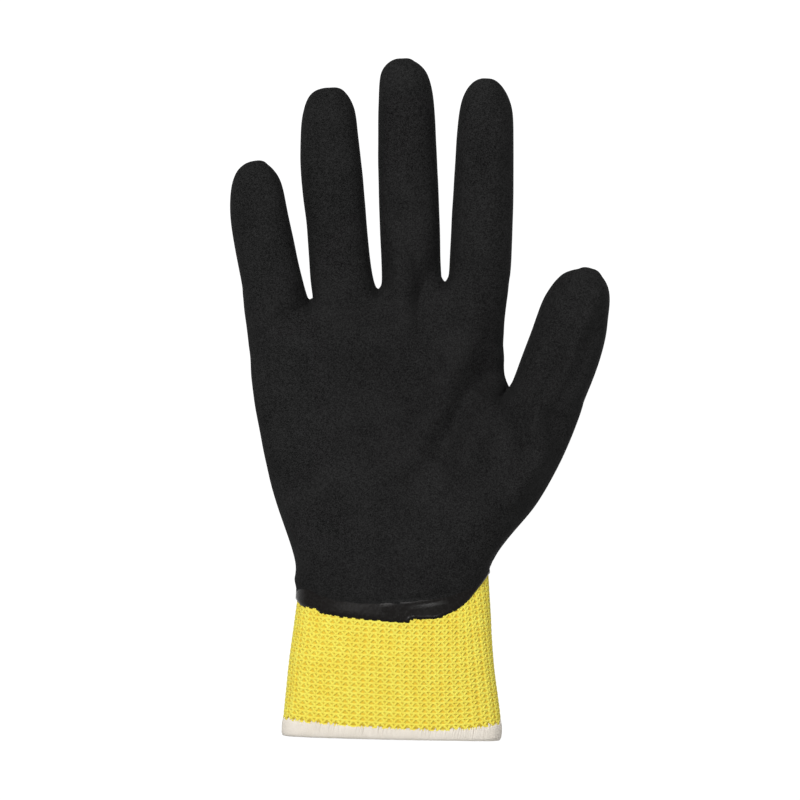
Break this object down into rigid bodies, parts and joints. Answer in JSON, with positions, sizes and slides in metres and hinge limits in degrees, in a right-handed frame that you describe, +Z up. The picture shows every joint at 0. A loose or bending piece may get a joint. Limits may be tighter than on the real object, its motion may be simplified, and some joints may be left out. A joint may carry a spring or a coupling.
{
  "type": "coated work glove",
  "caption": "High-visibility knitted work glove for the right hand, dipped in smooth rubber with a sandy grip coat on the palm.",
  "frame": {"origin": "bottom centre of the glove's bounding box, on the surface that its back rests on", "axes": "+Y towards the fingertips, +X towards the thumb, +Z up out of the palm"},
  "size_m": [0.1385, 0.2499, 0.0308],
  "materials": {
    "yellow_knit": "fluorescent yellow purl knit with small ochre openings between the stitches",
    "smooth_rubber": "smooth black first dip, soft satin sheen",
    "sandy_rubber": "matt black sandy second dip with a fine grain",
    "white_thread": "off-white overlocked thread edge"
  },
  "bodies": {
    "root": {"cuff_knit": "yellow_knit", "palm_knit": "yellow_knit", "little_finger_knit": "yellow_knit", "ring_finger_knit": "yellow_knit", "middle_finger_knit": "yellow_knit", "index_finger_knit": "yellow_knit", "thumb_knit": "yellow_knit", "smooth_coat": "smooth_rubber", "grip_coat": "sandy_rubber", "cuff_hem": "white_thread"}
  },
  "joints": []
}
